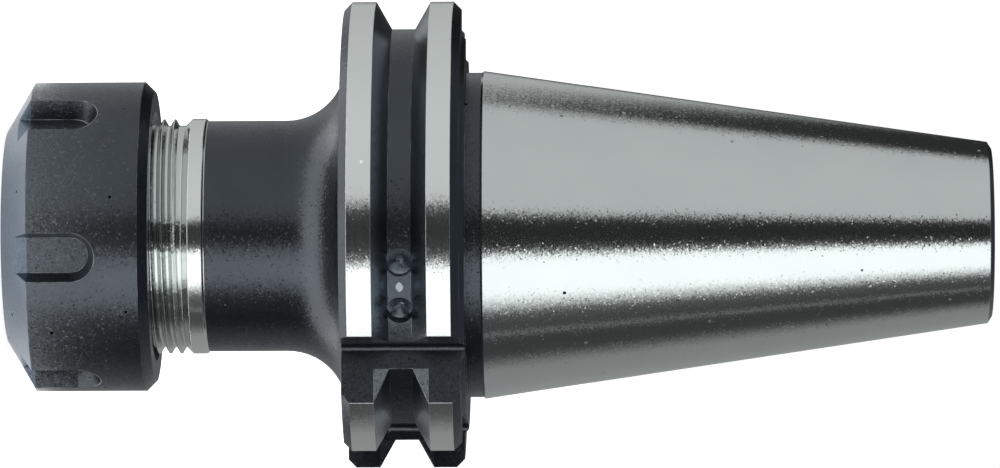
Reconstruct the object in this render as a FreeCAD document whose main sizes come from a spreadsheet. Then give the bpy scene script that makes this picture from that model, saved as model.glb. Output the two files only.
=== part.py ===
"""Collet chuck holder: a 7:24 no. 40 shank with a gripper flange, a size 25 spring collet and its clamping nut.

The tool axis is Z. The holder stands on the front face of its nut, at height 0, with the small end of its taper up.
"""

import FreeCAD, Part
import math
import os
import re

import Sketcher

Vector = FreeCAD.Vector

# Every driving size: alias, value in mm or degrees, meaning.
SIZES = [
    # 7:24 spindle taper, from the gauge line towards its small end
    ("gauge_length", 65.0, "nut's front face to gauge line, nut screwed home"),
    ("gauge_diameter", 44.45, "taper at the gauge line"),
    ("taper_length", 68.4, "gauge line to small end"),
    ("taper_rise", 7.0, "diameter lost over each taper_run"),
    ("taper_run", 24.0, "length over which taper_rise is lost"),
    ("end_bevel_rise", 0.57, "small end's bevel along the axis"),
    ("end_bevel_width", 0.9, "small end's bevel across the end face"),
    ("taper_start", 0.25, "large end of the ground cone, below the gauge line"),
    ("relief_end", 0.55, "end of the relief, below the gauge line"),
    ("relief_diameter", 44.1, "turned relief between flange and cone"),
    # pull-stud hole in the small end
    ("pilot_diameter", 17.0, "pilot bore"),
    ("pilot_depth", 7.0, "pilot bore's depth"),
    ("pilot_bevel", 0.8, "bevel at the pilot's mouth"),
    ("stud_drill", 14.0, "drilled hole for the M16 stud thread"),
    ("stud_depth", 36.0, "drilled hole's depth from the end face"),
    ("coolant_bore", 8.0, "bore right through the shank"),
    ("drill_point", 118.0, "point angle of every drilled hole"),
    # gripper flange, from the gauge line towards the nose
    ("flange_diameter", 63.55, "both lands"),
    ("flange_rear", 3.2, "gauge line to the flange's rear face"),
    ("flange_front", 19.1, "gauge line to the flange's front face"),
    ("flange_bevel", 1.1, "bevel at both rims"),
    ("ring_diameter", 54.6, "raised ring on the rear face"),
    ("ring_height", 0.55, "raised ring's height, and its 45 degree bevel"),
    ("vee_centre", 11.1, "gauge line to the middle of the V-groove"),
    ("vee_diameter", 56.25, "V-groove's floor"),
    ("vee_floor", 3.1, "V-groove's floor width"),
    ("vee_flank", 30.0, "each flank's angle from the flat faces"),
    ("keyway_width", 16.1, "both drive keyways"),
    ("keyway_corner", 0.8, "radius in the keyways' and the notch's corners"),
    ("near_keyway", 25.0, "axis to the floor of the keyway beside the notch"),
    ("far_keyway", 22.8, "axis to the floor of the other keyway"),
    ("keyway_runout", 1.0, "milling cutter's run past the flange's front face"),
    ("notch_floor", 18.5, "axis to the orientation notch's floor"),
    ("notch_wall", 18.1, "axis to the orientation notch's wall"),
    ("balance_drill", 3.6, "balance holes in the groove's floor"),
    ("balance_depth", 2.0, "balance holes' straight depth"),
    ("balance_one", 17.25, "first balance hole's bearing, from -Y towards +X"),
    ("balance_two", 30.6, "second balance hole's bearing"),
    # neck and nose
    ("neck_diameter", 31.35, "neck"),
    ("neck_fillet", 8.0, "radius from the neck into the flange"),
    ("collar_drop", 0.025, "ground collar below the thread's crest, on the radius"),
    ("collar_end", 37.8, "gauge line to the collar's rear edge"),
    ("collar_bevel", 0.25, "bevel on the collar's rear edge"),
    ("thread_end", 40.8, "gauge line to the end of the thread's root"),
    ("nose_wall", 3.0, "seat's mouth to the thread's crest, which makes the thread M32"),
    ("thread_pitch", 1.5, "nose thread's pitch"),
    ("thread_depth_ratio", 0.61343, "a metric thread's depth for each mm of its pitch"),
    ("nose_bevel", 0.8, "bevel on the nose's rim"),
    ("shank_bore", 18.0, "clearance bore for the tool's shank"),
    ("shank_bore_depth", 54.0, "nose face to the end of the clearance bore"),
    # size 25 spring collet, from its front face
    ("collet_inset", 0.5, "nut's front face to the collet's"),
    ("collet_diameter", 26.0, "collet's head, and the mouth of its seat"),
    ("collet_length", 34.0, "whole collet"),
    ("collet_angle", 8.0, "half angle of the seat and the collet"),
    ("head_angle", 30.0, "half angle of the pressing cone"),
    ("head_cone", 1.8, "pressing cone's width on the radius"),
    ("head_length", 6.7, "front face to the start of the seat cone"),
    ("ring_groove", 2.4, "width of the groove for the extraction ring"),
    ("ring_groove_depth", 1.9, "that groove's depth"),
    ("tool_bore", 12.0, "bore that holds the tool"),
    ("grip_length", 24.0, "length of the tool bore"),
    ("bore_relief", 0.4, "relief behind the tool bore, on the radius"),
    ("bore_bevel", 0.5, "bevel at the tool bore's mouth"),
    ("slit_width", 0.9, "sawn slits"),
    ("slit_count", 8.0, "slits from each end"),
    ("slit_bridge", 4.5, "web that each slit stops short of"),
    ("seat_clearance", 0.05, "collet to its seat and to the nut's cone, on the radius"),
    # clamping nut, from its front face
    ("nut_wall", 5.0, "thread's crest to the nut's outside"),
    ("nut_height", 20.0, "nut"),
    ("nut_bevel_rise", 3.8, "front bevel's length along the axis"),
    ("nut_bevel_angle", 30.0, "front bevel's angle from the face"),
    ("nut_rear_bevel", 1.3, "rear bevel"),
    ("slot_count", 6.0, "spanner slots"),
    ("slot_bearing", 17.5, "first slot's bearing, from -Y towards +X"),
    ("slot_depth", 2.9, "slots' depth from the nut's outside"),
    ("slot_width", 4.8, "slots' floor width"),
    ("slot_draft", 18.5, "slots' wall angle"),
    ("slot_end", 9.58, "front face to the centre of the slots' round end"),
    ("head_clearance", 0.15, "collet's head to the nut's bore around it"),
    ("lip_reach", 1.25, "eccentric extraction ring inside the collet's head, on the radius"),
    ("lip_offset", 0.45, "extraction ring's offset from the axis"),
    ("lip_clearance", 0.2, "extraction ring to each side of its groove"),
    ("undercut_depth", 0.7, "thread undercut behind the extraction ring, beyond the thread's crest"),
    ("undercut_width", 2.3, "thread undercut"),
    ("thread_clearance", 0.1, "nut thread's root beyond the nose thread's crest"),
    ("nut_countersink", 0.8, "bevel at the nut's rear mouth"),
]

ALIAS = re.compile(r"\b(" + "|".join(alias for alias, _, _ in SIZES) + r")\b")

doc = FreeCAD.newDocument("ColletChuckHolder")
sheet = doc.addObject("Spreadsheet::Sheet", "Sizes")
for row, (alias, value, meaning) in enumerate(SIZES, start=1):
    sheet.set(f"A{row}", alias)
    sheet.set(f"B{row}", str(value))
    sheet.setAlias(f"B{row}", alias)
    sheet.set(f"C{row}", meaning)
doc.recompute()


# ---------------------------------------------------------------- helpers

def worked_out(expression):
    """The number that an expression over the sheet's aliases gives now."""
    result = sheet.evalExpression(expression)
    return float(getattr(result, "Value", result))


def bind(thing, path, expression):
    """Tie one property to an expression over the sheet's aliases."""
    thing.setExpression(path, ALIAS.sub(r"Sizes.\1", expression))


def new_body(name):
    """An empty body whose label names its file."""
    body = doc.addObject("PartDesign::Body", name)
    body.Label = name
    return body


def new_sketch(body, name, plane, height="0"):
    """A sketch on one of the body's own origin planes, raised along the plane's normal."""
    sketch = body.newObject("Sketcher::SketchObject", name)
    planes = {feature.Role: feature for feature in body.Origin.OriginFeatures}
    sketch.AttachmentSupport = [(planes[plane], "")]
    sketch.MapMode = "FlatFace"
    bind(sketch, "AttachmentOffset.Base.z", height)
    return sketch


def pin_down(sketch, edge, end, across, along):
    """Fix one end of an edge at two expressions from the sketch's origin."""
    for kind, expression in (("DistanceX", across), ("DistanceY", along)):
        place = worked_out(expression)
        number = sketch.addConstraint(Sketcher.Constraint(kind, -1, 1, edge, end, place))
        bind(sketch, f"Constraints[{number}]", expression)


def outline(sketch, corners):
    """Join the corners in a closed outline.

    A corner is (across, along). A third item, "arc", means that an arc leads on to the next corner, and
    leaves in the direction of the line that arrives.
    """
    points = [Vector(worked_out(corner[0]), worked_out(corner[1]), 0) for corner in corners]
    count = len(corners)
    starts = []
    ends = []
    for number, corner in enumerate(corners):
        begin = points[number]
        finish = points[(number + 1) % count]
        edge = Part.LineSegment(begin, finish)
        if "arc" in corner:
            arriving = begin - points[number - 1]
            chord = finish - begin
            turn = math.atan2(arriving.cross(chord).z, arriving.dot(chord))
            left = Vector(-chord.y, chord.x, 0)
            edge = Part.Arc(begin, (begin + finish) / 2 - left * (math.tan(turn / 2) / 2), finish)
        sketch.addGeometry(edge)
        # a sketch keeps every arc anticlockwise, so its first end may be the corner it leads to
        forward = (sketch.getPoint(number, 1) - begin).Length < (sketch.getPoint(number, 2) - begin).Length
        starts.append(1 if forward else 2)
        ends.append(2 if forward else 1)
    for number, corner in enumerate(corners):
        joint = "Tangent" if "arc" in corner else "Coincident"
        before = (number - 1) % count
        sketch.addConstraint(Sketcher.Constraint(joint, before, ends[before], number, starts[number]))
        pin_down(sketch, number, starts[number], corner[0], corner[1])


def circle(sketch, across, along, radius):
    """A full circle with its centre at two expressions."""
    centre = Vector(worked_out(across), worked_out(along), 0)
    edge = sketch.addGeometry(Part.Circle(centre, Vector(0, 0, 1), worked_out(radius)))
    pin_down(sketch, edge, 3, across, along)
    held = sketch.addConstraint(Sketcher.Constraint("Radius", edge, worked_out(radius)))
    bind(sketch, f"Constraints[{held}]", radius)


def finished(body, feature, adds=False):
    """Recompute, and stop if the feature failed or didn't change the body the way it should."""
    before = body.Tip.Shape.Volume if body.Tip and body.Tip != feature else 0.0
    if feature.BaseFeature:
        before = feature.BaseFeature.Shape.Volume
    doc.recompute()
    after = feature.Shape.Volume
    changed = after > before if adds else after < before
    if "Invalid" in feature.State or "Error" in feature.State or not changed:
        raise RuntimeError(f"{body.Label}.{feature.Name}: {before:.1f} to {after:.1f} mm3, {feature.State}")
    return feature


def turned(body, name, corners):
    """A turned blank: the outline of half its section, spun about the axis."""
    sketch = new_sketch(body, name + "_section", "XZ_Plane")
    outline(sketch, corners)
    feature = body.newObject("PartDesign::Revolution", name)
    feature.Profile = sketch
    feature.ReferenceAxis = (sketch, ["V_Axis"])
    feature.Angle = 360
    return finished(body, feature, adds=True)


def turned_out(body, name, corners):
    """Turn or bore the outline of half a section out of the body."""
    sketch = new_sketch(body, name + "_section", "XZ_Plane")
    outline(sketch, corners)
    feature = body.newObject("PartDesign::Groove", name)
    feature.Profile = sketch
    feature.ReferenceAxis = (sketch, ["V_Axis"])
    feature.Angle = 360
    return finished(body, feature)


def milled(body, name, sketch, depth, outward=False, draft=None):
    """Cut a sketch into the body: against the sketch's normal, or along it when outward."""
    feature = body.newObject("PartDesign::Pocket", name)
    feature.Profile = sketch
    feature.Type = "Length"
    feature.Reversed = outward
    bind(feature, "Length", depth)
    if draft:
        bind(feature, "TaperAngle", draft)
    return finished(body, feature)


def sawn(body, name, sketch, width):
    """Cut a sketch into the body to the same depth on both sides of its plane."""
    feature = body.newObject("PartDesign::Pocket", name)
    feature.Profile = sketch
    feature.Type = "Length"
    feature.SideType = "Symmetric"
    bind(feature, "Length", width)
    return finished(body, feature)


def repeated(body, name, feature, count):
    """Space a cut evenly round the axis."""
    axes = {item.Role: item for item in body.Origin.OriginFeatures}
    pattern = body.newObject("PartDesign::PolarPattern", name)
    pattern.Originals = [feature]
    pattern.Axis = (axes["Z_Axis"], [""])
    pattern.Angle = 360
    bind(pattern, "Occurrences", count)
    body.Tip = pattern
    before = feature.Shape.Volume
    doc.recompute()
    if "Invalid" in pattern.State or pattern.Shape.Volume >= before:
        raise RuntimeError(f"{body.Label}.{name}: {pattern.State}")
    return pattern


# ---------------------------------------------------------------- holder body, from its gauge line

NOSE = "(collet_inset + head_length - gauge_length)"
RING_TOP = "(ring_height - flange_rear)"
SEAT_RADIUS = "(collet_diameter / 2)"
THREAD_CREST = "(collet_diameter / 2 + nose_wall)"
THREAD_ROOT = f"({THREAD_CREST} - thread_pitch * thread_depth_ratio)"


def cone_radius(height):
    """Radius of the 7:24 cone at a height above the gauge line."""
    return f"(gauge_diameter / 2 - ({height}) * taper_rise / taper_run / 2)"


def holder_blank(body):
    """The whole outside in one turned section, from the nose up to the small end."""
    collar = f"({THREAD_CREST} - collar_drop)"
    neck = "neck_diameter / 2"
    flange = "flange_diameter / 2"
    end_radius = cone_radius("taper_length - end_bevel_rise")
    turned(body, "blank", [
        ("0", NOSE),
        (f"{THREAD_ROOT} - nose_bevel", NOSE),
        (THREAD_ROOT, f"{NOSE} + nose_bevel"),
        (THREAD_ROOT, "-thread_end"),
        (collar, f"-thread_end + {collar} - {THREAD_ROOT}"),
        (collar, "-collar_end - collar_bevel"),
        (f"{collar} - collar_bevel", "-collar_end"),
        (neck, "-collar_end"),
        (neck, "-flange_front - neck_fillet", "arc"),
        (f"{neck} + neck_fillet", "-flange_front"),
        (f"{flange} - flange_bevel", "-flange_front"),
        (flange, "-flange_front + flange_bevel"),
        (flange, "-flange_rear - flange_bevel"),
        (f"{flange} - flange_bevel", "-flange_rear"),
        ("ring_diameter / 2", "-flange_rear"),
        ("ring_diameter / 2 - ring_height", RING_TOP),
        ("relief_diameter / 2", RING_TOP),
        ("relief_diameter / 2", "-relief_end"),
        (cone_radius("-taper_start"), "-taper_start"),
        (end_radius, "taper_length - end_bevel_rise"),
        (f"{end_radius} - end_bevel_width", "taper_length"),
        ("0", "taper_length"),
    ])


def gripper_groove(body):
    """The V-groove for the tool changer: a flat floor between two flanks."""
    rim = "(flange_diameter / 2 + flange_bevel)"
    floor = "(vee_diameter / 2)"
    opening = f"(vee_floor / 2 + ({rim} - {floor}) * tan(vee_flank))"
    turned_out(body, "vee_groove", [
        (floor, "-vee_centre - vee_floor / 2"),
        (rim, f"-vee_centre - {opening}"),
        (rim, f"-vee_centre + {opening}"),
        (floor, "-vee_centre + vee_floor / 2"),
    ])


def front_bore(body):
    """The 8 degree collet seat, then the clearance bore for the tool's shank, with its drill point."""
    narrow = "(shank_bore / 2)"
    seat_end = f"({NOSE} + ({SEAT_RADIUS} - {narrow}) / tan(collet_angle))"
    bore_end = f"({NOSE} + shank_bore_depth)"
    turned_out(body, "collet_seat", [
        ("0", NOSE),
        (SEAT_RADIUS, NOSE),
        (narrow, seat_end),
        (narrow, bore_end),
        ("0", f"{bore_end} + {narrow} / tan(drill_point / 2)"),
    ])


def stud_hole(body):
    """Pull-stud hole in the small end: bevelled pilot bore, drilled thread hole and its point."""
    pilot = "(pilot_diameter / 2)"
    drilled = "(stud_drill / 2)"
    turned_out(body, "stud_hole", [
        ("0", "taper_length"),
        (f"{pilot} + pilot_bevel", "taper_length"),
        (pilot, "taper_length - pilot_bevel"),
        (pilot, "taper_length - pilot_depth"),
        (drilled, "taper_length - pilot_depth"),
        (drilled, "taper_length - stud_depth"),
        ("0", f"taper_length - stud_depth - {drilled} / tan(drill_point / 2)"),
    ])


def coolant_hole(body):
    """One bore that joins the stud hole to the clearance bore, started and ended inside them."""
    sketch = new_sketch(body, "coolant_circle", "XY_Plane", "taper_length - stud_depth")
    circle(sketch, "0", "0", "coolant_bore / 2")
    milled(body, "coolant_hole", sketch, f"taper_length - stud_depth - {NOSE} - shank_bore_depth")


def keyway(body, name, side, floor):
    """A drive keyway milled through the flange, with rounded floor corners; side is 1 at +X and -1 at -X."""
    sketch = new_sketch(body, name + "_section", "XY_Plane", f"{RING_TOP} + keyway_runout")
    inner = f"({side} * {floor})"
    rounded = f"({side} * ({floor} + keyway_corner))"
    outer = f"({side} * (flange_diameter / 2 + flange_bevel))"
    half = "(keyway_width / 2)"
    outline(sketch, [
        (outer, f"-{half}"),
        (outer, half),
        (rounded, half, "arc"),
        (inner, f"{half} - keyway_corner"),
        (inner, f"-{half} + keyway_corner", "arc"),
        (rounded, f"-{half}"),
    ])
    milled(body, name, sketch, f"flange_front + {RING_TOP} + 2 * keyway_runout")


def orientation_notch(body):
    """The corner milled off the flange, beside the near keyway and on the -Y side."""
    sketch = new_sketch(body, "notch_section", "XY_Plane", f"{RING_TOP} + keyway_runout")
    rim = "(flange_diameter / 2 + flange_bevel)"
    outline(sketch, [
        ("notch_wall", f"-{rim}"),
        (rim, f"-{rim}"),
        (rim, "-notch_floor"),
        ("notch_wall + keyway_corner", "-notch_floor", "arc"),
        ("notch_wall", "-notch_floor - keyway_corner"),
    ])
    milled(body, "orientation_notch", sketch, f"flange_front + {RING_TOP} + 2 * keyway_runout")


def balance_hole(body, name, bearing):
    """A short drilled hole in the groove's floor, square to the axis, at a bearing from -Y towards +X."""
    sketch = new_sketch(body, name + "_section", "XZ_Plane")
    sketch.AttachmentOffset = FreeCAD.Placement(Vector(), FreeCAD.Rotation(Vector(0, 1, 0), 1))
    bind(sketch, "AttachmentOffset.Rotation.Angle", f"{bearing} - 90")
    bind(sketch, "AttachmentOffset.Base.y", "-vee_centre")
    half = "(balance_drill / 2)"
    straight = "(vee_diameter / 2 - balance_depth)"
    outline(sketch, [
        (f"{straight} - {half} / tan(drill_point / 2)", "0"),
        ("flange_diameter / 2", "0"),
        ("flange_diameter / 2", half),
        (straight, half),
    ])
    feature = body.newObject("PartDesign::Groove", name)
    feature.Profile = sketch
    feature.ReferenceAxis = (sketch, ["H_Axis"])
    feature.Angle = 360
    finished(body, feature)


def make_holder():
    """The holder body, one piece of steel from nose to small end."""
    body = new_body("holder_body")
    holder_blank(body)
    gripper_groove(body)
    front_bore(body)
    stud_hole(body)
    coolant_hole(body)
    keyway(body, "near_keyway_cut", 1, "near_keyway")
    keyway(body, "far_keyway_cut", -1, "far_keyway")
    orientation_notch(body)
    balance_hole(body, "balance_hole_one", "balance_one")
    balance_hole(body, "balance_hole_two", "balance_two")
    bind(body, "Placement.Base.z", "gauge_length")
    return body


# ---------------------------------------------------------------- collet, from its front face

def make_collet():
    """The spring collet: a double-coned sleeve, slit in turn from its front and from its rear."""
    body = new_body("collet")
    outer = f"({SEAT_RADIUS} - seat_clearance)"
    groove = f"({SEAT_RADIUS} - ring_groove_depth)"
    bore = "(tool_bore / 2)"
    face = f"({SEAT_RADIUS} - head_cone)"
    cone_rise = f"(({outer} - {face}) / tan(head_angle))"
    tail = f"({outer} - (collet_length - head_length) * tan(collet_angle))"
    turned(body, "blank", [
        (f"{bore} + bore_bevel", "0"),
        (face, "0"),
        (outer, cone_rise),
        (outer, "head_length - ring_groove"),
        (groove, "head_length - ring_groove"),
        (groove, "head_length"),
        (outer, "head_length"),
        (tail, "collet_length"),
        (f"{bore} + bore_relief", "collet_length"),
        (f"{bore} + bore_relief", "grip_length + bore_relief"),
        (bore, "grip_length"),
        (bore, "bore_bevel"),
    ])
    beyond = "collet_diameter"
    half_turn = "(180 / slit_count)"
    front = new_sketch(body, "front_slit_side", "XZ_Plane")
    outline(front, [
        ("0", "-slit_width"),
        (beyond, "-slit_width"),
        (beyond, "collet_length - slit_bridge"),
        ("0", "collet_length - slit_bridge"),
    ])
    repeated(body, "front_slits", sawn(body, "front_slit", front, "slit_width"), "slit_count")
    rear = new_sketch(body, "rear_slit_side", "XZ_Plane")
    rear.AttachmentOffset = FreeCAD.Placement(Vector(), FreeCAD.Rotation(Vector(0, 1, 0), 1))
    bind(rear, "AttachmentOffset.Rotation.Angle", half_turn)
    outline(rear, [
        ("0", "slit_bridge"),
        (beyond, "slit_bridge"),
        (beyond, "collet_length + slit_width"),
        ("0", "collet_length + slit_width"),
    ])
    repeated(body, "rear_slits", sawn(body, "rear_slit", rear, "slit_width"), "slit_count")
    bind(body, "Placement.Base.z", "collet_inset")
    return body


# ---------------------------------------------------------------- clamping nut, from its front face

def make_nut():
    """The clamping nut: pressing cone, eccentric extraction ring, thread bore and six drafted spanner slots."""
    body = new_body("clamping_nut")
    rim = f"({THREAD_CREST} + nut_wall)"
    mouth = f"({SEAT_RADIUS} - head_cone + seat_clearance - collet_inset * tan(head_angle))"
    head = f"({SEAT_RADIUS} + head_clearance)"
    head_rise = f"(({head} - {mouth}) / tan(head_angle))"
    lip = f"({SEAT_RADIUS} - lip_reach)"
    lip_blank = f"({lip} - 2 * lip_offset)"
    lip_front = "(collet_inset + head_length - ring_groove + lip_clearance)"
    lip_rear = "(collet_inset + head_length - lip_clearance)"
    undercut = f"({THREAD_CREST} + undercut_depth)"
    thread = f"({THREAD_CREST} + thread_clearance)"
    turned(body, "blank", [
        (mouth, "0"),
        (f"{rim} - nut_bevel_rise / tan(nut_bevel_angle)", "0"),
        (rim, "nut_bevel_rise"),
        (rim, "nut_height - nut_rear_bevel"),
        (f"{rim} - nut_rear_bevel", "nut_height"),
        (f"{thread} + nut_countersink", "nut_height"),
        (thread, "nut_height - nut_countersink"),
        (thread, f"{lip_rear} + undercut_width"),
        (undercut, f"{lip_rear} + undercut_width"),
        (undercut, lip_rear),
        (lip_blank, lip_rear),
        (lip_blank, lip_front),
        (head, lip_front),
        (head, head_rise),
    ])
    eccentric = new_sketch(body, "extraction_ring_bore", "XY_Plane", "nut_height")
    circle(eccentric, "lip_offset", "0", lip)
    milled(body, "extraction_ring", eccentric, f"nut_height - {lip_front}")
    slot = new_sketch(body, "slot_floor_outline", "YZ_Plane", f"{rim} - slot_depth")
    half = "(slot_width / 2)"
    outline(slot, [
        (f"-{half}", "-nut_bevel_rise"),
        (half, "-nut_bevel_rise"),
        (half, "slot_end", "arc"),
        (f"-{half}", "slot_end"),
    ])
    beyond_rim = "slot_depth + nut_rear_bevel"
    cut = milled(body, "spanner_slot", slot, beyond_rim, outward=True, draft="slot_draft")
    repeated(body, "spanner_slots", cut, "slot_count")
    body.Placement = FreeCAD.Placement(Vector(), FreeCAD.Rotation(Vector(0, 0, 1), 1))
    bind(body, "Placement.Rotation.Angle", "slot_bearing - 90")
    return body


# ---------------------------------------------------------------- build, test and write

bodies = [make_holder(), make_collet(), make_nut()]
doc.recompute()

for item in doc.Objects:
    if "Invalid" in item.State or "Error" in item.State:
        raise RuntimeError(f"{item.Label} failed: {item.State}")
    if item.isDerivedFrom("Sketcher::SketchObject") and not item.FullyConstrained:
        raise RuntimeError(f"{item.Label} isn't held by its sizes")
for body in bodies:
    if body.Shape.isNull() or not body.Shape.isValid():
        raise RuntimeError(f"{body.Label} has no valid shape")
    if len(body.Shape.Solids) != 1:
        raise RuntimeError(f"{body.Label} is {len(body.Shape.Solids)} solids")

os.makedirs("parts", exist_ok=True)
for body in bodies:
    body.Shape.exportStep(f"parts/{body.Label}.step")
    box = body.Shape.optimalBoundingBox()
    print(f"{body.Label}: {body.Shape.Volume / 1000:.2f} cm3, height {box.ZMin:.2f} to {box.ZMax:.2f} mm")
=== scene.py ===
"""Collet chuck holder: the finishes, the threads and the studio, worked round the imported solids.

Everything is in metres and in the part's own frame: the tool axis is Z and the nut's front face is at height 0.
"""

import math

import bpy
import numpy as np
from bpy.props import FloatProperty, FloatVectorProperty, PointerProperty
from mathutils import Matrix, Vector


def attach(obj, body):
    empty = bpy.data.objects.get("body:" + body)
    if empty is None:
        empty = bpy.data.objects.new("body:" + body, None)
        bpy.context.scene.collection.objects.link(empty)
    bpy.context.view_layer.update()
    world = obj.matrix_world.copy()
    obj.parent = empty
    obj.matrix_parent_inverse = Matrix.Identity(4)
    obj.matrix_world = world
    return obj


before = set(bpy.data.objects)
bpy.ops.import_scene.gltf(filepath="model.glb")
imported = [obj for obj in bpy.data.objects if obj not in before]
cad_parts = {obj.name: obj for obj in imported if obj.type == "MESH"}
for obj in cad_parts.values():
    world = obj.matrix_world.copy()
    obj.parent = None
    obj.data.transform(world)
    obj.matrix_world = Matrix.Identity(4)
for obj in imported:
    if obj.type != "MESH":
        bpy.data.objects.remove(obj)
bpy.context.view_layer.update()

bl_info = {
    "name": "Collet chuck holder",
    "version": (1, 0, 0),
    "blender": (4, 5, 0),
    "location": "View3D > Sidebar > Chuck",
    "description": "Finishes, threads and studio for a collet chuck holder",
    "category": "Add Mesh",
}

MM = 0.001

# Heights along the tool axis, in mm above the nut's front face
GAUGE_LINE = 65.0
NOSE_FACE = 7.2
THREAD_END = GAUGE_LINE - 40.8
COLLAR_END = GAUGE_LINE - 37.8
FLANGE_FRONT = GAUGE_LINE - 19.1
FLANGE_REAR = GAUGE_LINE - 3.2
RELIEF_END = GAUGE_LINE - 0.55
VEE_CENTRE = GAUGE_LINE - 11.1
SMALL_END = GAUGE_LINE + 68.4
NUT_HEIGHT = 20.0
NUT_THREAD_START = 9.3
NUT_THREAD_END = 19.2

# Radii, in mm
NUT_OUTSIDE = 21.0
FLANGE_OUTSIDE = 63.55 / 2
VEE_FLOOR = 56.25 / 2
VEE_HALF_FLOOR = 3.1 / 2
NUT_BORE = 16.1
NOSE_ROOT = 16 - 1.5 * 0.61343

# Limits of the finishes' zones, in mm, each a little past or short of the edge it stands for
SEAT_LIMIT = 13.2            # between the collet seat's mouth and the nose
COLLAR_LIMIT = 14.0          # inside the neck
NOSE_LIMIT = 16.5            # outside the nose thread and the collar
PAST_ALL = 40.0              # outside every radius
SEAT_RISE = 40.0             # above the nose face, past the collet seat's end
CONE_END = SMALL_END - 0.58  # where the small end's bevel starts
HOLE_HALF = 1.9              # half the height that a balance hole takes
HOLE_FLOOR = 20.0            # inside the balance holes' points
HOLES_ACROSS = (0.0, 17.6)   # places along X with both balance holes between them
HOLES_DEEP = (-30.0, -12.0)  # the same along Y
BEVEL_TOP = 3.79             # nut's front bevel
BEVEL_INSIDE = 14.0          # nut's flat front ring
REAR_RIM = 19.72             # nut's rear face

# Each finish: roughness, lean of its grit, lean of its few deep pits
FINISHES = {
    "blacked": (0.30, 0.06, 0.40),   # oxide over turned steel: satin, blue-black
    "ground": (0.14, 0.030, 0.14),   # ground cone: sharp bands of light, fine grit
    "land": (0.15, 0.025, 0.10),     # lands and collar: ground finer, so a step paler
    "flank": (0.24, 0.040, 0.12),    # groove flanks: fine turned, half bright
    "bevel": (0.32, 0.060, 0.20),    # nut's bevel: the blacking painted bluer and paler, a painted highlight for the light the bevel catches
}


# ---------------------------------------------------------------- colours and nodes

def linear(code):
    """An sRGB hex colour as linear red, green, blue and an alpha of 1."""
    parts = [int(code[place:place + 2], 16) / 255 for place in (1, 3, 5)]
    return tuple(c / 12.92 if c <= 0.04045 else ((c + 0.055) / 1.055) ** 2.4 for c in parts) + (1.0,)


def node(tree, kind, inputs=(), out=0, **settings):
    """Add a node, set its settings, fill or link its inputs by name or place, and give one of its outputs."""
    item = tree.nodes.new("ShaderNode" + kind)
    for name, value in settings.items():
        setattr(item, name, value)
    for key, value in (inputs.items() if isinstance(inputs, dict) else enumerate(inputs)):
        if isinstance(value, bpy.types.NodeSocket):
            tree.links.new(value, item.inputs[key])
        else:
            item.inputs[key].default_value = value
    return item.outputs[out] if item.outputs else item


def fresh_material(name):
    """A material with an empty node tree, and the tree."""
    material = bpy.data.materials.new(name)
    material.use_nodes = True
    material.node_tree.nodes.clear()
    return material, material.node_tree


def zone_share(tree, values, limits):
    """1 where every value lies between its two limits, otherwise 0."""
    share = None
    for value, (low, high) in zip(values, limits):
        above = node(tree, "Math", (value, low), operation="GREATER_THAN")
        below = node(tree, "Math", (value, high), operation="LESS_THAN")
        both = node(tree, "Math", (above, below), operation="MULTIPLY")
        share = both if share is None else node(tree, "Math", (share, both), operation="MULTIPLY")
    return share


# ---------------------------------------------------------------- finishes

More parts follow.
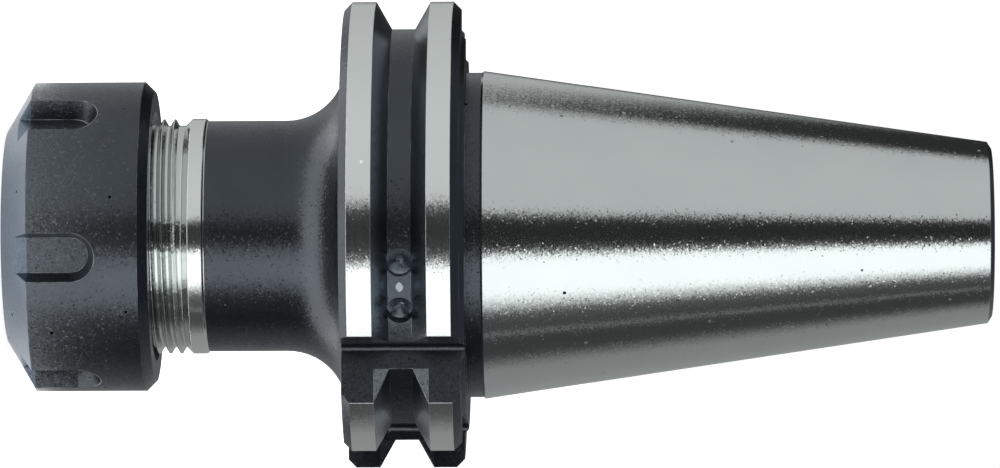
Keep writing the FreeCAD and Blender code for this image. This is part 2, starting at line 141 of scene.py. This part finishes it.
def steel(name, base, zones=()):
    """Steel in one finish, with zones that have finishes of their own.

    A zone is (finish, heights, radii), or (finish, heights, radii, places along X, places along Y), in mm.
    Where two zones overlap, the later one shows.
    """
    material, tree = fresh_material(name)
    finish_settings = bpy.context.scene.chuck_finish
    place = node(tree, "TexCoord", out="Object")
    mm = node(tree, "VectorMath", {0: place, "Scale": 1 / MM}, operation="SCALE")
    split = node(tree, "SeparateXYZ", (mm,)).node.outputs
    flat = node(tree, "CombineXYZ", (split[0], split[1]))
    radius = node(tree, "VectorMath", (flat,), "Value", operation="LENGTH")
    cloud = node(tree, "TexNoise", {"Vector": mm, "Scale": 0.12, "Detail": 3.0})

    def clouded(finish):
        """The finish's colour, which drifts between its two shades."""
        one, two = [(*getattr(finish_settings, f"{finish}_{shade}"), 1.0) for shade in ("dark", "pale")]
        return node(tree, "Mix", {0: cloud, 6: one, 7: two}, 2, data_type="RGBA")

    # each finish is laid over the last one where its zone is
    colour = clouded(base)
    rough, grit, pits = FINISHES[base]
    bare = 0.0
    for finish, *limits in zones:
        share = zone_share(tree, (split[2], radius, split[0], split[1]), limits)
        colour = node(tree, "Mix", {0: share, 6: colour, 7: clouded(finish)}, 2, data_type="RGBA")
        rough, grit, pits = [node(tree, "Mix", {0: share, 2: under, 3: number}, data_type="FLOAT")
                             for under, number in zip((rough, grit, pits), FINISHES[finish])]
        bare = node(tree, "Math", (bare, share), operation="MAXIMUM")

    # grit and pits: each cell leans its own way, most of them hardly at all. Real grit is finer than 0.1 mm,
    # so the cells are drawn about twice its size.
    cells = node(tree, "TexVoronoi", {"Vector": mm, "Scale": 5.5}, feature="F1").node.outputs
    lean = node(tree, "VectorMath", (cells["Color"], (0.5, 0.5, 0.5)), operation="SUBTRACT")
    chance = node(tree, "TexWhiteNoise", {"Vector": cells["Position"]}, "Value", noise_dimensions="3D")
    steep = node(tree, "Math", (chance, 6.0), operation="POWER")
    amount = node(tree, "Math", (steep, pits, grit), operation="MULTIPLY_ADD")
    tilt = node(tree, "VectorMath", {0: lean, "Scale": amount}, operation="SCALE")

    # fine rings that the wheel or the turning tool left round the axis
    ring_place = node(tree, "CombineXYZ", (radius, 0.0, split[2]))
    rings = node(tree, "TexNoise", {"Vector": ring_place, "Scale": 3.2, "Detail": 2.0})
    ring_lean = node(tree, "Math", (rings, finish_settings.rings, -0.5 * finish_settings.rings), operation="MULTIPLY_ADD")
    tilt = node(tree, "VectorMath", (tilt, node(tree, "CombineXYZ", (0.0, 0.0, ring_lean))), operation="ADD")

    # a few small dings where the holder was knocked: a shallow cup round a cell's middle
    spread = 0.22
    spots = node(tree, "TexVoronoi", {"Vector": mm, "Scale": spread}, feature="F1").node.outputs
    spread_mm = node(tree, "VectorMath", {0: mm, "Scale": spread}, operation="SCALE")
    from_middle = node(tree, "VectorMath", (spread_mm, spots["Position"]), operation="SUBTRACT")
    inside = node(tree, "MapRange", {0: spots["Distance"], 1: 0.03, 2: 0.06, 3: 1.0, 4: 0.0})
    cup = node(tree, "Math", (inside, finish_settings.dings), operation="MULTIPLY")
    dent = node(tree, "VectorMath", {0: from_middle, "Scale": cup}, operation="SCALE")
    tilt = node(tree, "VectorMath", (tilt, dent), operation="ADD")

    # every sharp edge is broken to a small radius, which catches its own thin line of light
    rounded = node(tree, "Bevel", {"Radius": finish_settings.edge_radius * MM}, samples=6)
    leaning = node(tree, "VectorMath", (rounded, tilt), operation="ADD")
    normal = node(tree, "VectorMath", (leaning,), operation="NORMALIZE")

    # edges where the blacking rubs thin in patches and bare steel shows; the paler colour there is also a painted
    # highlight, the thin line of light that these edges catch
    if base == "blacked":
        true_normal = node(tree, "NewGeometry", out="Normal")
        facing = node(tree, "VectorMath", (rounded, true_normal), "Value", operation="DOT_PRODUCT")
        edge = node(tree, "MapRange", (facing, 0.995, 0.9, 0.0, 1.0))
        patches = node(tree, "TexNoise", {"Vector": mm, "Scale": 0.55, "Detail": 4.0})
        rubbed = node(tree, "MapRange", (patches, 0.42, 0.62))
        edge_wear_and_highlight = node(tree, "Math", (edge, rubbed), operation="MULTIPLY")
        blacked = node(tree, "Math", (1.0, bare), operation="SUBTRACT")
        edge_wear_and_highlight = node(tree, "Math", (edge_wear_and_highlight, blacked), operation="MULTIPLY")
        colour = node(tree, "Mix", {0: edge_wear_and_highlight, 6: colour, 7: (*finish_settings.edge_wear_and_highlight, 1.0)}, 2, data_type="RGBA")

    shader = node(tree, "BsdfPrincipled", {"Base Color": colour, "Metallic": 1.0, "Roughness": rough,
                                           "Normal": normal})
    node(tree, "OutputMaterial", {"Surface": shader})
    return material


def finish_node(name, material):
    """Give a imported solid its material, in the object's own slots."""
    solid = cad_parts[name]
    if not solid.material_slots:
        raise RuntimeError(f"{name} has no material slot")
    for place in solid.material_slots:
        place.link = "OBJECT"
        place.material = material


# ---------------------------------------------------------------- surfaces

def grid_mesh(name, points, closed_across=False, capped=False):
    """A mesh over a grid of points: points[i, j] joins its neighbours in quads.

    Closed across, each row is a loop. Capped, its first and last rows get a face each, and every normal faces out.
    """
    rows, columns = points.shape[:2]
    i = np.arange(rows - 1)[:, None]
    j = np.arange(columns if closed_across else columns - 1)[None, :]
    j_next = (j + 1) % columns
    quads = np.stack([i * columns + j, i * columns + j_next, (i + 1) * columns + j_next, (i + 1) * columns + j], -1)
    faces = quads.reshape(-1, 4).tolist()
    if capped:
        faces += [list(range(columns))[::-1], list(range((rows - 1) * columns, rows * columns))]
        corner = points.reshape(-1, 3)[quads.reshape(-1, 4)]
        volume = np.einsum("ij,ij->i", corner[:, 0], np.cross(corner[:, 1], corner[:, 2])
                           + np.cross(corner[:, 2], corner[:, 3])).sum()
        if volume < 0:
            faces = [face[::-1] for face in faces]
    mesh = bpy.data.meshes.new(name)
    mesh.from_pydata(points.reshape(-1, 3).tolist(), [], faces)
    mesh.update()
    piece = bpy.data.objects.new(name, mesh)
    bpy.context.scene.collection.objects.link(piece)
    return piece


def thread_ridge(name, base, crest, crest_half, low, high, phase):
    """A right-hand thread's ridge, from its base radius to its crest radius, between two heights in mm.

    At the angle t the ridge's middle is at height z = low + pitch * (t - phase) / (2 pi), and its section, a
    trapezium with 60 degree flanks, lies in the plane through the axis. Over the first and the last third of
    a turn the section grows from nothing and shrinks again: it is scaled by s = sin(90 degrees * share run).
    """
    pitch = bpy.context.scene.chuck_thread.pitch
    steps_per_turn = 72
    turns = (high - low) / pitch
    share = np.linspace(0.0, 1.0, int(turns * steps_per_turn))[:, None]
    angle = phase + share * turns * 2 * math.pi
    run = np.minimum(share, 1 - share) * turns * 3
    size = np.sin(np.clip(run, 0.004, 1.0) * math.pi / 2)
    foot_half = crest_half + abs(crest - base) * math.tan(math.radians(30))
    sunk = base - 0.04 * np.sign(crest - base)
    profile_r = np.array([sunk, base, crest, crest, base, sunk])
    profile_z = np.array([-foot_half, -foot_half, -crest_half, crest_half, foot_half, foot_half])
    r = sunk + (profile_r - sunk) * size
    z = low + share * (high - low) + profile_z * size
    points = np.stack([r * np.cos(angle), r * np.sin(angle), z], -1) * MM
    return grid_mesh(name, points, closed_across=True, capped=True)


# ---------------------------------------------------------------- studio

def card_material(name, colour):
    """A card that shines evenly in its colour, for reflections only."""
    material, tree = fresh_material(name)
    glow = node(tree, "Emission", {"Color": linear(colour), "Strength": 1.0})
    node(tree, "OutputMaterial", {"Surface": glow})
    return material


TENT_RADIUS = 0.80
TENT_HEIGHT = 0.75
LID_HEIGHT = 0.76

# The cards round the holder: (bearing from the camera in degrees towards +X, its grey)
LOW_CARDS = [
    (-180, 0.10), (-166, 0.12), (-158, 0.50), (-60, 0.66), (-17, 0.66), (-13, 0.03), (12, 0.03), (16, 1.5),
    (44, 1.5), (58, 0.12), (74, 0.06), (75.5, 0.45), (77, 0.06), (96, 0.08), (112, 0.30), (172, 0.35), (180, 0.12),
]
HIGH_CARDS = [
    (-180, 0.03), (-112, 0.03), (-100, 0.62), (-60, 0.66), (-17, 0.66), (-13, 0.02), (12, 0.02), (16, 1.5),
    (44, 1.5), (58, 0.10), (74, 0.05), (75.5, 0.45), (77, 0.05), (96, 0.06), (112, 0.30), (172, 0.35), (180, 0.03),
]


def card_curve(tree, share, cards):
    """The grey of a row of cards at a share of the full circle."""
    grey = node(tree, "FloatCurve", {"Value": share})
    mapping = grey.node.mapping
    mapping.use_clip = False
    points = mapping.curves[0].points
    while len(points) < len(cards):
        points.new(0.5, 0.5)
    for point, (bearing, value) in zip(points, cards):
        point.location = ((bearing + 180) / 360, value)
        point.handle_type = "VECTOR"
    mapping.update()
    return grey


def tent(bearing):
    """A bowl of cards round the holder that only reflections see, with a lid.

    A point is at (R sin b, -R cos b, h) for a bearing b; R and h follow the bowl's section.
    """
    section = np.array([(0.06, 0.001), (0.30, 0.001), (0.72, 0.001), (TENT_RADIUS, 0.03),
                        (TENT_RADIUS, TENT_HEIGHT)])
    angle = np.radians(np.arange(0, 360, 3.0))
    r, h = section[:, 0][:, None], section[:, 1][:, None]
    bowl = grid_mesh("tent", np.stack([r * np.sin(angle), -r * np.cos(angle), h + 0 * angle], -1),
                     closed_across=True)
    material, tree = fresh_material("tent cards, graded by bearing")
    split = node(tree, "SeparateXYZ", (node(tree, "TexCoord", out="Object"),)).node.outputs
    away = node(tree, "Math", (split[1], -1.0), operation="MULTIPLY")
    about = node(tree, "Math", (split[0], away), operation="ARCTAN2")
    turned = node(tree, "Math", (about, math.radians(bearing)), operation="SUBTRACT")
    wrapped = node(tree, "Math", (turned, 1 / (2 * math.pi), 0.5), operation="MULTIPLY_ADD")
    share = node(tree, "Math", (wrapped,), operation="FRACT")
    upper = node(tree, "MapRange", (split[2], 0.13, 0.20))
    low, high = [card_curve(tree, share, cards) for cards in (LOW_CARDS, HIGH_CARDS)]
    grey = node(tree, "Mix", {0: upper, 2: low, 3: high}, data_type="FLOAT")
    glow = node(tree, "Emission", {"Color": (0.95, 0.99, 1.0, 1.0), "Strength": grey})
    node(tree, "OutputMaterial", {"Surface": glow})
    bowl.data.materials.append(material)
    r = TENT_RADIUS * np.array([0.0001, 1.0])[:, None]
    lid = grid_mesh("tent_lid", np.stack([r * np.sin(angle), -r * np.cos(angle), LID_HEIGHT + 0 * r + 0 * angle], -1),
                    closed_across=True)
    lid.data.materials.append(card_material("tent card, dark grey", "#7e868e"))
    for item in (bowl, lid):
        for rays in ("camera", "diffuse", "transmission", "shadow", "volume_scatter"):
            setattr(item, "visible_" + rays, False)


def eye_share(tree):
    """1 for camera, glossy and clear rays, otherwise 0."""
    seen = node(tree, "LightPath").node.outputs
    share = node(tree, "Math", (seen["Is Camera Ray"], seen["Is Glossy Ray"]), operation="MAXIMUM")
    return node(tree, "Math", (share, seen["Is Transmission Ray"]), operation="MAXIMUM")


def world_light():
    """White behind the holder, and an even pale light from all round."""
    world = bpy.data.worlds.new("studio")
    world.use_nodes = True
    tree = world.node_tree
    tree.nodes.clear()
    strength = node(tree, "Math", (eye_share(tree), 0.52, 0.5), operation="MULTIPLY_ADD")
    back = node(tree, "Background", {"Color": (1, 1, 1, 1), "Strength": strength})
    node(tree, "OutputWorld", {"Surface": back})
    bpy.context.scene.world = world


def floor():
    """A plain pale floor just under the nut's front face. It looks white and keeps the holder's shadow."""
    angle = np.radians(np.arange(0, 360, 5.0))
    ring = np.array([0.0005, 0.05, 0.2, 0.8, 3.0, 12.0])[:, None]
    points = np.stack([ring * np.cos(angle), ring * np.sin(angle), -0.00002 + 0 * ring + 0 * angle], -1)
    sheet = grid_mesh("floor", points, closed_across=True)
    material, tree = fresh_material("white card")
    card = node(tree, "BsdfDiffuse", {"Color": linear("#f4f4f2")})
    glow = node(tree, "Emission", {"Color": (1, 1, 1, 1),
                                   "Strength": node(tree, "Math", (eye_share(tree), 0.80), operation="MULTIPLY")})
    node(tree, "OutputMaterial", {"Surface": node(tree, "AddShader", (card, glow))})
    sheet.data.materials.append(material)


def softbox(name, place, watts):
    """A soft square lamp aimed at the foot of the holder."""
    lamp = bpy.data.lights.new(name, "AREA")
    lamp.shape = "SQUARE"
    lamp.size = 0.9
    lamp.energy = watts
    item = bpy.data.objects.new(name, lamp)
    item.location = place
    item.rotation_mode = "QUATERNION"
    item.rotation_quaternion = (Vector((0, 0, 0.05)) - Vector(place)).to_track_quat("-Z", "Y")
    item.visible_glossy = False
    bpy.context.scene.collection.objects.link(item)


def camera(studio):
    """A long lens level with the middle of the holder, rolled on its side so that the tool axis lies across."""
    bearing = math.radians(studio.bearing)
    place = Vector((studio.distance * math.sin(bearing), -studio.distance * math.cos(bearing), studio.height))
    back = (place - Vector((0, 0, studio.aim))).normalized()
    axis = Vector((0, 0, 1))
    across = (axis - back * axis.dot(back)).normalized()
    up = back.cross(across)
    tilt = math.radians(studio.roll)
    right = across * math.cos(tilt) - up * math.sin(tilt)
    up = up * math.cos(tilt) + across * math.sin(tilt)
    lens = bpy.data.cameras.new("camera")
    lens.lens = studio.lens
    lens.shift_y = studio.shift
    lens.clip_start, lens.clip_end = 0.05, 30
    item = bpy.data.objects.new("camera", lens)
    item.matrix_world = Matrix.Translation(place) @ Matrix((right, up, back)).transposed().to_4x4()
    bpy.context.scene.collection.objects.link(item)
    bpy.context.scene.camera = item


# ---------------------------------------------------------------- settings

def shade(name, code):
    """A colour that a user may change, given by its sRGB hex code."""
    return FloatVectorProperty(name=name, description=f"{name}, one of the shades its finish drifts between",
                               subtype="COLOR", size=3, default=linear(code)[:3], min=0.0, max=1.0)


class ChuckFinish(bpy.types.PropertyGroup):
    """The steel's colours, with the painted highlights on the nut's bevel and at rubbed edges, and how much wear it
    has.
    """

    blacked_dark: shade("Blacking, dark", "#484c51")
    blacked_pale: shade("Blacking, pale", "#54585d")
    ground_dark: shade("Ground steel, dark", "#cfd3d1")
    ground_pale: shade("Ground steel, pale", "#d8dbd8")
    land_dark: shade("Lands, dark", "#e3e6e3")
    land_pale: shade("Lands, pale", "#ebedea")
    flank_dark: shade("Groove flanks, dark", "#8b9298")
    flank_pale: shade("Groove flanks, pale", "#9aa0a6")
    # painted highlight: the bevel's two shades are the blacking made paler and bluer, for the light the bevel catches
    bevel_dark: shade("Nut's bevel, dark", "#5e6974")
    bevel_pale: shade("Nut's bevel, pale", "#68737e")
    # bare steel at rubbed edges, and a painted edge highlight as well
    edge_wear_and_highlight: FloatVectorProperty(name="Worn edges", description="Bare steel where the blacking is rubbed off",
                              subtype="COLOR", size=3, default=linear("#8d979f")[:3], min=0.0, max=1.0)
    edge_radius: FloatProperty(name="Edge radius", description="Radius that sharp edges look broken to, in mm",
                               default=0.18, min=0.0, max=1.0)
    dings: FloatProperty(name="Dings", description="How steep the few small dings are", default=0.7, min=0.0)
    rings: FloatProperty(name="Rings", description="Lean of the fine rings round the axis", default=0.03, min=0.0)


class ChuckThread(bpy.types.PropertyGroup):
    """The nose thread and the nut's thread, in mm."""

    pitch: FloatProperty(name="Pitch", description="Rise of each turn", default=1.5, min=0.5, max=3.0)
    crest: FloatProperty(name="Crest", description="Radius of the nose thread's crest", default=15.95)
    crest_half: FloatProperty(name="Crest half width", description="Half the flat on the nose thread's crest",
                              default=0.094)
    nut_crest: FloatProperty(name="Nut crest", description="Radius of the nut thread's crest", default=15.2)
    nut_crest_half: FloatProperty(name="Nut crest half width",
                                  description="Half the flat on the nut thread's crest", default=0.15)


class ChuckStudio(bpy.types.PropertyGroup):
    """The camera and the lamps, in metres, degrees and watts."""

    bearing: FloatProperty(name="Bearing", description="Camera's bearing from -Y towards +X", default=9.8)
    distance: FloatProperty(name="Distance", description="Camera to the tool axis", default=1.007, unit="LENGTH")
    height: FloatProperty(name="Height", description="Camera above the floor", default=0.0855, unit="LENGTH")
    aim: FloatProperty(name="Aim", description="Height on the tool axis that it looks at", default=0.06675,
                       unit="LENGTH")
    lens: FloatProperty(name="Lens", description="Focal length in mm", default=266.8)
    roll: FloatProperty(name="Roll", description="Lean of the tool axis in the picture", default=0.275)
    shift: FloatProperty(name="Shift", description="Vertical lens shift", default=0.0008)
    key: FloatProperty(name="Key", description="Key lamp", default=18.0, min=0.0)
    fill: FloatProperty(name="Fill", description="Fill lamp", default=12.0, min=0.0)


# ---------------------------------------------------------------- operators

class CHUCK_OT_holder_finish(bpy.types.Operator):
    """Finish the holder body: blackened, with ground cone, lands and collar, and turned groove flanks"""

    bl_idname = "chuck.holder_finish"
    bl_label = "Holder finish"

    def execute(self, context):
        half = VEE_HALF_FLOOR + 0.05
        vee_rise = (FLANGE_OUTSIDE - VEE_FLOOR) * math.tan(math.radians(30))
        opening = VEE_HALF_FLOOR + vee_rise + 0.05
        finish_node("holder_body", steel("case-hardened steel, blackened and ground", "blacked", [
            ("ground", (NOSE_FACE - 1, NOSE_FACE + SEAT_RISE), (0.0, SEAT_LIMIT)),
            ("ground", (NOSE_FACE - 1, THREAD_END + 0.2), (SEAT_LIMIT, NOSE_LIMIT)),
            ("land", (THREAD_END + 0.2, COLLAR_END + 0.1), (COLLAR_LIMIT, NOSE_LIMIT)),
            ("flank", (VEE_CENTRE + half, VEE_CENTRE + opening), (VEE_FLOOR + 0.02, FLANGE_OUTSIDE - 0.02)),
            ("flank", (VEE_CENTRE - opening, VEE_CENTRE - half), (VEE_FLOOR + 0.02, FLANGE_OUTSIDE - 0.02)),
            ("flank", (VEE_CENTRE - HOLE_HALF, VEE_CENTRE + HOLE_HALF), (HOLE_FLOOR, VEE_FLOOR - 0.03),
             HOLES_ACROSS, HOLES_DEEP),
            ("land", (FLANGE_FRONT, FLANGE_REAR), (FLANGE_OUTSIDE - 0.03, PAST_ALL)),
            ("ground", (RELIEF_END + 0.01, CONE_END), (10.0, PAST_ALL)),
        ]))
        return {"FINISHED"}


class CHUCK_OT_collet_finish(bpy.types.Operator):
    """Finish the collet: ground spring steel all over"""

    bl_idname = "chuck.collet_finish"
    bl_label = "Collet finish"

    def execute(self, context):
        finish_node("collet", steel("ground spring steel", "ground"))
        return {"FINISHED"}


class CHUCK_OT_nut_finish(bpy.types.Operator):
    """Finish the nut: blackened, its front bevel painted paler and bluer as a painted highlight, and its rear face
    bright
    """

    bl_idname = "chuck.nut_finish"
    bl_label = "Nut finish"

    def execute(self, context):
        # the front bevel's zone is a painted highlight: a paler, bluer copy of the blacking
        finish_node("clamping_nut", steel("blackened steel, front bevel rubbed", "blacked", [
            ("bevel", (-1.0, BEVEL_TOP), (BEVEL_INSIDE, NUT_OUTSIDE - 0.01)),
            ("flank", (NUT_HEIGHT - 0.02, NUT_HEIGHT + 1), (0, REAR_RIM)),
        ]))
        return {"FINISHED"}


class CHUCK_OT_threads(bpy.types.Operator):
    """Cut the nose thread and the nut's thread, half a pitch apart so that they mesh"""

    bl_idname = "chuck.threads"
    bl_label = "Threads"

    def execute(self, context):
        sizes = context.scene.chuck_thread
        start = NOSE_FACE + 1.2
        nose = thread_ridge("nose_thread", NOSE_ROOT, sizes.crest, sizes.crest_half, start, THREAD_END - 0.2, 0.0)
        # the nut's ridge starts where the nose thread's groove passes: half a pitch above the nose's ridge
        nut_start = NUT_THREAD_START + 0.7
        turns_up = (nut_start - start - sizes.pitch / 2) / sizes.pitch
        inner = thread_ridge("nut_thread", NUT_BORE, sizes.nut_crest, sizes.nut_crest_half, nut_start,
                             NUT_THREAD_END - 0.6, 2 * math.pi * turns_up)
        for piece, body, slot in ((nose, "holder", "holder_steel"), (inner, "nut", "nut_steel")):
            piece.data.materials.append(steel(f"turned steel, {piece.name}", "ground"))
            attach(piece, body)
        return {"FINISHED"}


class CHUCK_OT_studio(bpy.types.Operator):
    """Set up the floor, the cards, the lamps and the camera"""

    bl_idname = "chuck.studio"
    bl_label = "Studio"

    def execute(self, context):
        studio = context.scene.chuck_studio
        tent(studio.bearing)
        world_light()
        floor()
        softbox("key", (-0.9, -0.9, 1.2), studio.key)
        softbox("fill", (1.0, 0.5, 1.1), studio.fill)
        camera(studio)
        context.scene.view_settings.view_transform = "Standard"
        return {"FINISHED"}


STEPS = (CHUCK_OT_holder_finish, CHUCK_OT_collet_finish, CHUCK_OT_nut_finish, CHUCK_OT_threads, CHUCK_OT_studio)


class CHUCK_PT_panel(bpy.types.Panel):
    """Build steps of the collet chuck holder"""

    bl_idname = "CHUCK_PT_panel"
    bl_label = "Collet chuck holder"
    bl_space_type = "VIEW_3D"
    bl_region_type = "UI"
    bl_category = "Chuck"

    def draw(self, context):
        for settings in (context.scene.chuck_finish, context.scene.chuck_thread, context.scene.chuck_studio):
            box = self.layout.box()
            for name in settings.__annotations__:
                box.prop(settings, name)
        for step in STEPS:
            self.layout.operator(step.bl_idname)


GROUPS = {"chuck_finish": ChuckFinish, "chuck_thread": ChuckThread, "chuck_studio": ChuckStudio}
CLASSES = tuple(GROUPS.values()) + STEPS + (CHUCK_PT_panel,)


def register():
    """Register the settings, the operators and the panel."""
    for item in CLASSES:
        bpy.utils.register_class(item)
    for name, group in GROUPS.items():
        setattr(bpy.types.Scene, name, PointerProperty(type=group))


def unregister():
    """Take them away again."""
    for name in GROUPS:
        delattr(bpy.types.Scene, name)
    for item in reversed(CLASSES):
        bpy.utils.unregister_class(item)


def main():
    """Build the whole scene in order."""
    register()
    bpy.ops.chuck.holder_finish()
    bpy.ops.chuck.collet_finish()
    bpy.ops.chuck.nut_finish()
    bpy.ops.chuck.threads()
    bpy.ops.chuck.studio()


if __name__ == "__main__":
    main()
